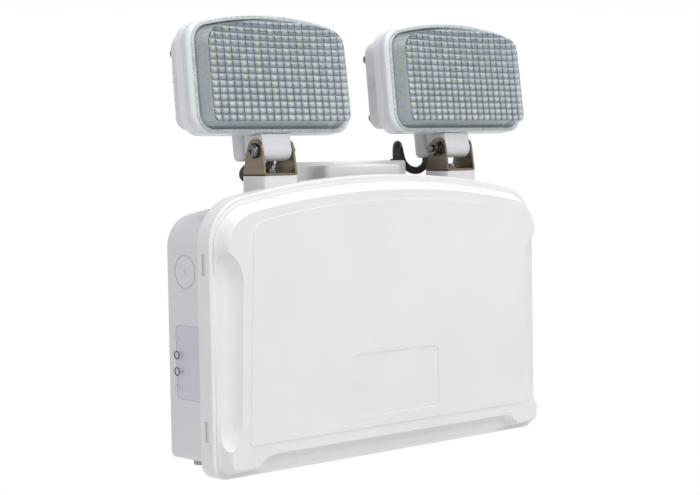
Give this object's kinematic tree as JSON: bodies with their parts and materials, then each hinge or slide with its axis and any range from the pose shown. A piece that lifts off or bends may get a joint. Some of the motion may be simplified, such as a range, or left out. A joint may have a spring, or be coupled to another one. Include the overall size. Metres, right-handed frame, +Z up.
{
  "type": "emergency light",
  "caption": "Wall-mounted emergency light with an arched box and adjustable lamp heads on folded steel brackets.",
  "frame": {"origin": "on the wall plane, at the middle of the four wall screw holes", "axes": "+Z up, -Y out of the wall towards the viewer (the front), +X to the right seen from the front"},
  "size_m": [0.2814, 0.0592, 0.2767],
  "materials": {
    "box_plastic": "light grey moulded, fine matt",
    "cover_plastic": "off-white moulded, soft satin",
    "head_plastic": "light grey moulded, fine matt",
    "bezel_plastic": "off-white moulded, soft satin",
    "seal_rubber": "black rubber, matt",
    "gasket_rubber": "grey-green rubber, matt",
    "label_film": "printed film, low gloss",
    "indicator_clear": "clear light guide",
    "button_plastic": "mid grey moulded",
    "switch_plastic": "black moulded",
    "battery_sleeve": "blue shrink sleeve",
    "strap_steel": "zinc plated",
    "board_green": "green solder mask",
    "screw_steel": "bright plated steel",
    "transformer_core": "varnished laminations",
    "capacitor_sleeve": "dark sleeve",
    "terminal_plastic": "white moulded",
    "gland_rubber": "black rubber",
    "cord_rubber": "black round cable",
    "bracket_steel": "brushed stainless, brownish reflections",
    "lens_clear": "clear moulded prisms",
    "led_board_white": "white solder mask on aluminium",
    "led_yellow": "yellow phosphor",
    "reflector_white": "white moulded"
  },
  "bodies": {
    "housing": {"back_box": "box_plastic", "front_cover": "cover_plastic", "cover_seal": "seal_rubber", "indicator_label": "label_film", "charge_indicator": "indicator_clear", "lamp_indicator": "indicator_clear", "test_switch": "switch_plastic", "battery_pack": "battery_sleeve", "battery_strap": "strap_steel", "control_board": "board_green", "board_screws": "screw_steel", "transformer": "transformer_core", "capacitors": "capacitor_sleeve", "fuse_holder": "switch_plastic", "terminal_block": "terminal_plastic", "left_cable_gland": "gland_rubber", "left_lamp_cord": "cord_rubber", "left_post_screw": "screw_steel", "left_post_washer": "screw_steel", "right_cable_gland": "gland_rubber", "right_lamp_cord": "cord_rubber", "right_post_screw": "screw_steel", "right_post_washer": "screw_steel"},
    "test_button_body": {"test_button": "button_plastic"},
    "left_bracket_body": {"left_bracket": "bracket_steel", "left_pivot_screw": "screw_steel", "left_pivot_washers": "screw_steel", "left_pivot_nut": "screw_steel"},
    "left_head_body": {"left_head_housing": "head_plastic", "left_bezel": "bezel_plastic", "left_lens_gasket": "gasket_rubber", "left_lens": "lens_clear", "left_led_board": "led_board_white", "left_leds": "led_yellow", "left_reflector": "reflector_white", "left_head_screws": "screw_steel"},
    "right_bracket_body": {"right_bracket": "bracket_steel", "right_pivot_screw": "screw_steel", "right_pivot_washers": "screw_steel", "right_pivot_nut": "screw_steel"},
    "right_head_body": {"right_head_housing": "head_plastic", "right_bezel": "bezel_plastic", "right_lens_gasket": "gasket_rubber", "right_lens": "lens_clear", "right_led_board": "led_board_white", "right_leds": "led_yellow", "right_reflector": "reflector_white", "right_head_screws": "screw_steel"}
  },
  "joints": [
    {"name": "left_pan", "type": "hinge", "parent": "housing", "child": "left_bracket_body", "pos_m": [-0.0783, -0.03, 0.0898], "axis": [0, 0, 1], "range_deg": [-30, 30]},
    {"name": "left_tilt", "type": "hinge", "parent": "left_bracket_body", "child": "left_head_body", "pos_m": [-0.0783, -0.0312, 0.1049], "axis": [1, 0, 0], "range_deg": [-15, 45], "deforming": ["left_lamp_cord"]},
    {"name": "right_pan", "type": "hinge", "parent": "housing", "child": "right_bracket_body", "pos_m": [0.0783, -0.03, 0.0898], "axis": [0, 0, 1], "range_deg": [-30, 30]},
    {"name": "right_tilt", "type": "hinge", "parent": "right_bracket_body", "child": "right_head_body", "pos_m": [0.0783, -0.0312, 0.1049], "axis": [1, 0, 0], "range_deg": [-15, 45], "deforming": ["right_lamp_cord"]},
    {"name": "test_press", "type": "slide", "parent": "housing", "child": "test_button_body", "axis": [0, 0, 1], "range_m": [0, 0.002], "stiffness_N_per_m": 300}
  ]
}
